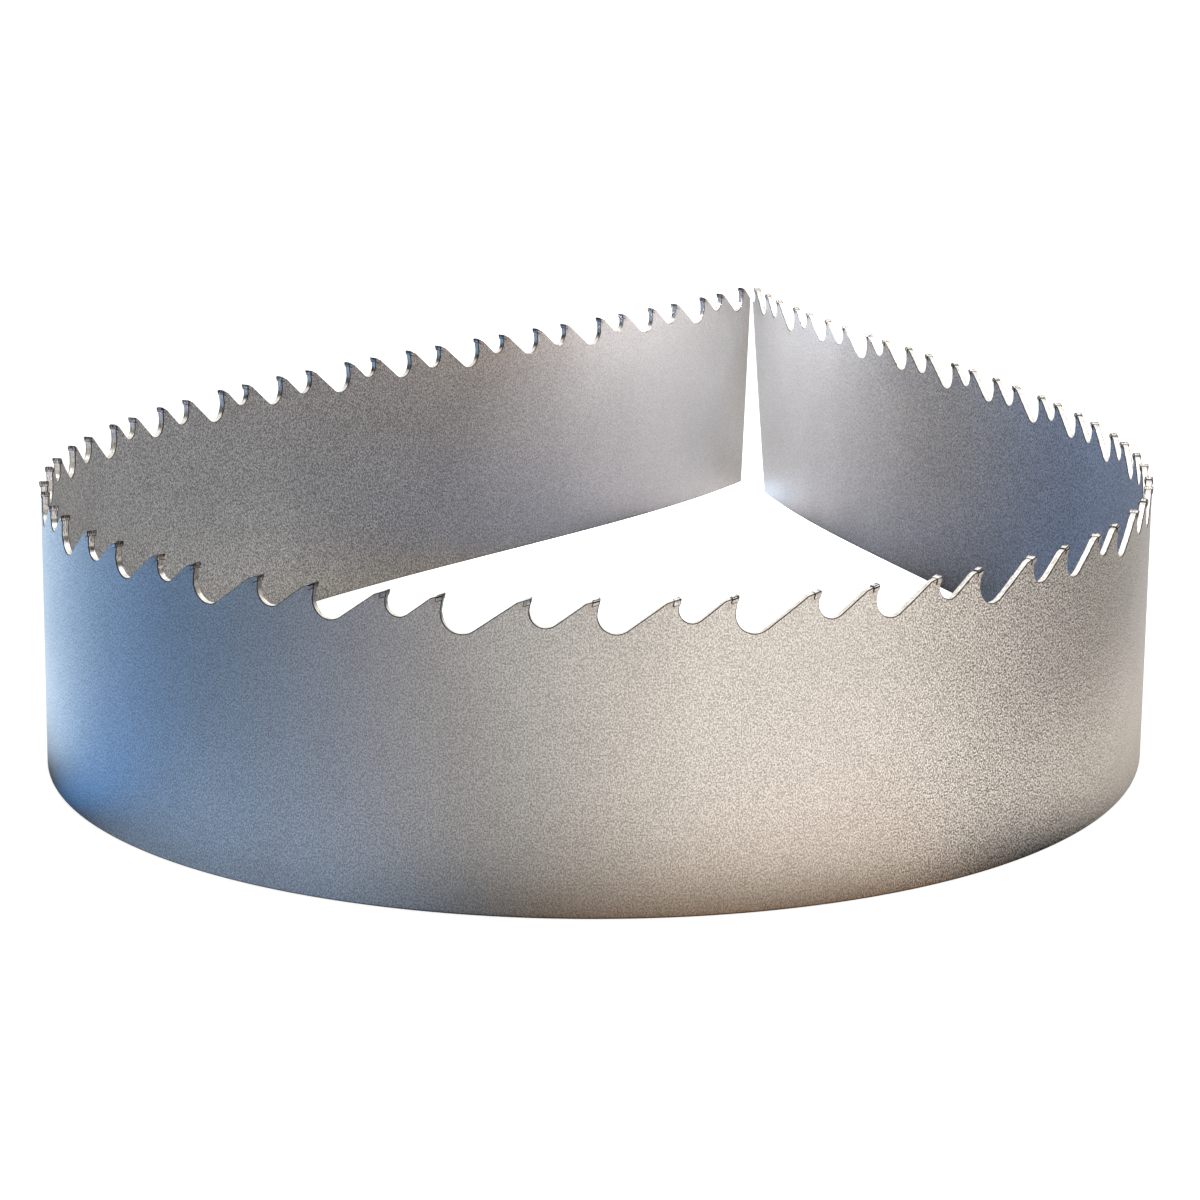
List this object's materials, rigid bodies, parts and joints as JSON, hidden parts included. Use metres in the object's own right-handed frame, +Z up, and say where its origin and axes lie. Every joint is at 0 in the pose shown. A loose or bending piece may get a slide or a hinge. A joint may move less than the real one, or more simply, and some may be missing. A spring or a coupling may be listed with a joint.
{
  "type": "band saw blade",
  "caption": "Short strip of wide carbide-tipped band saw blade, bent into a teardrop loop, teeth up, with its two cut ends nearly meeting at the back.",
  "frame": {"origin": "middle of the loop's base, on the plane that the back edge rests on", "axes": "+Z up from the back edge to the teeth, +Y from the round nose to the cut ends, +X to the right seen from the nose"},
  "size_m": [0.2642, 0.482, 0.067],
  "materials": {
    "band_steel": "satin",
    "ground_steel": "ground",
    "carbide": "ground"
  },
  "bodies": {
    "root": {"toothed_band": "band_steel"}
  },
  "joints": []
}
